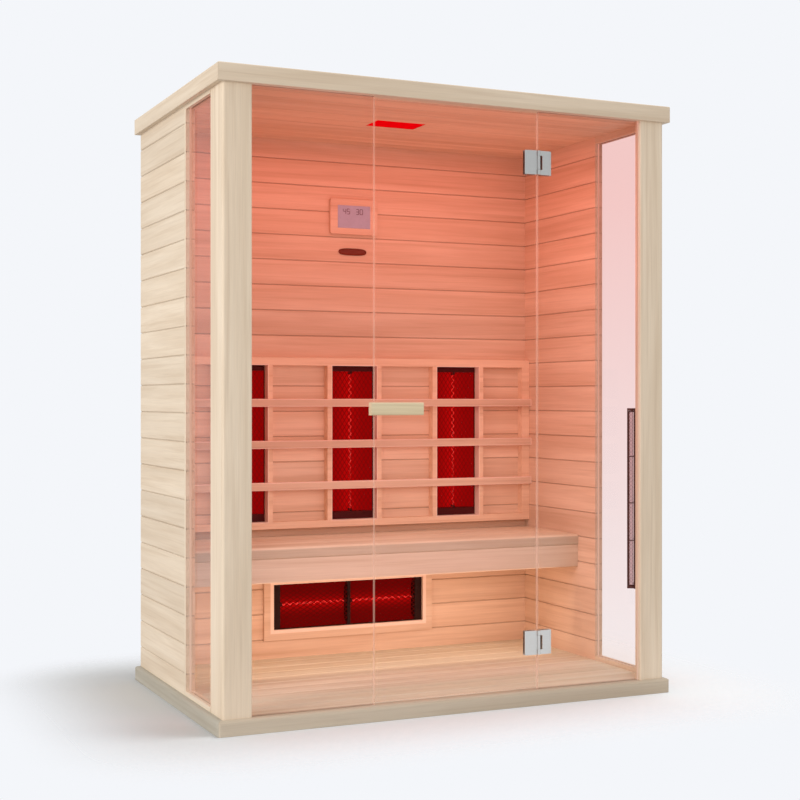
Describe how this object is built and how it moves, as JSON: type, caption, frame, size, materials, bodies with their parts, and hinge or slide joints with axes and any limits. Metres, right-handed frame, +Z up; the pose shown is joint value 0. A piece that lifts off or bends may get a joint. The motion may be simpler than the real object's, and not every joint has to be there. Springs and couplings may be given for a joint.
{
  "type": "infrared sauna cabin",
  "caption": "Upright plank cabin with a glass front, a hinged glass door, a bench and infrared heaters in its back wall and front corners.",
  "frame": {"origin": "under the middle of the base, on the ground", "axes": "+Z up, -Y towards the glass front, +X to the right as the front is faced"},
  "size_m": [1.525, 0.94, 1.9],
  "materials": {
    "pale_wood": "matt planed softwood",
    "warm_wood": "matt planed softwood",
    "handle_wood": "smooth sanded wood",
    "clear_glass": "polished toughened glass",
    "hinge_steel": "satin",
    "black_steel": "black powder coat",
    "net_steel": "dark expanded mesh in red light",
    "hot_wire": "glowing heating wire",
    "red_lens": "lit red lens",
    "grey_metal": "grey coated sheet",
    "display_glass": "backlit display"
  },
  "bodies": {
    "cabin": {"base_front_rail": "pale_wood", "base_back_rail": "pale_wood", "left_base_rail": "pale_wood", "right_base_rail": "pale_wood", "floor_boards": "warm_wood", "left_front_post": "pale_wood", "right_front_post": "pale_wood", "left_wall_outer": "pale_wood", "right_wall_outer": "pale_wood", "left_wall_inner_boards": "warm_wood", "right_wall_inner_boards": "warm_wood", "left_side_glass": "clear_glass", "right_side_glass": "clear_glass", "back_wall_inner_boards": "warm_wood", "back_wall_outer": "pale_wood", "roof_front_rail": "pale_wood", "roof_back_rail": "pale_wood", "left_roof_rail": "pale_wood", "right_roof_rail": "pale_wood", "ceiling_boards": "warm_wood", "roof_sheet": "pale_wood", "ceiling_light_housing": "grey_metal", "ceiling_light_lens": "red_lens", "power_unit": "grey_metal", "front_left_glass": "clear_glass", "front_right_glass": "clear_glass", "lower_hinge_fixed_leaf": "hinge_steel", "upper_hinge_fixed_leaf": "hinge_steel", "bench_seat": "warm_wood", "bench_apron": "warm_wood", "left_bench_cleat": "warm_wood", "right_bench_cleat": "warm_wood", "heater_surround": "warm_wood", "back_rest_bar_lower": "warm_wood", "back_rest_bar_middle": "warm_wood", "back_rest_bar_upper": "warm_wood", "left_heater_housing": "black_steel", "left_heater_coil": "hot_wire", "left_heater_net": "net_steel", "middle_heater_housing": "black_steel", "middle_heater_coil": "hot_wire", "middle_heater_net": "net_steel", "right_heater_housing": "black_steel", "right_heater_coil": "hot_wire", "right_heater_net": "net_steel", "leg_heater_housing": "black_steel", "leg_heater_coil_left": "hot_wire", "leg_heater_coil_right": "hot_wire", "leg_heater_surround": "warm_wood", "left_emitter_housing": "black_steel", "left_emitter_guard": "black_steel", "right_emitter_housing": "black_steel", "right_emitter_guard": "black_steel", "control_panel": "warm_wood", "control_display": "display_glass"},
    "door": {"door_glass": "clear_glass", "door_handle_outer": "handle_wood", "door_handle_inner": "handle_wood", "lower_hinge_door_leaf": "hinge_steel", "upper_hinge_door_leaf": "hinge_steel"}
  },
  "joints": [
    {"name": "door_swing", "type": "hinge", "parent": "cabin", "child": "door", "pos_m": [0.2835, -0.451, 0.947], "axis": [0, 0, 1], "range_deg": [0, 100]}
  ]
}
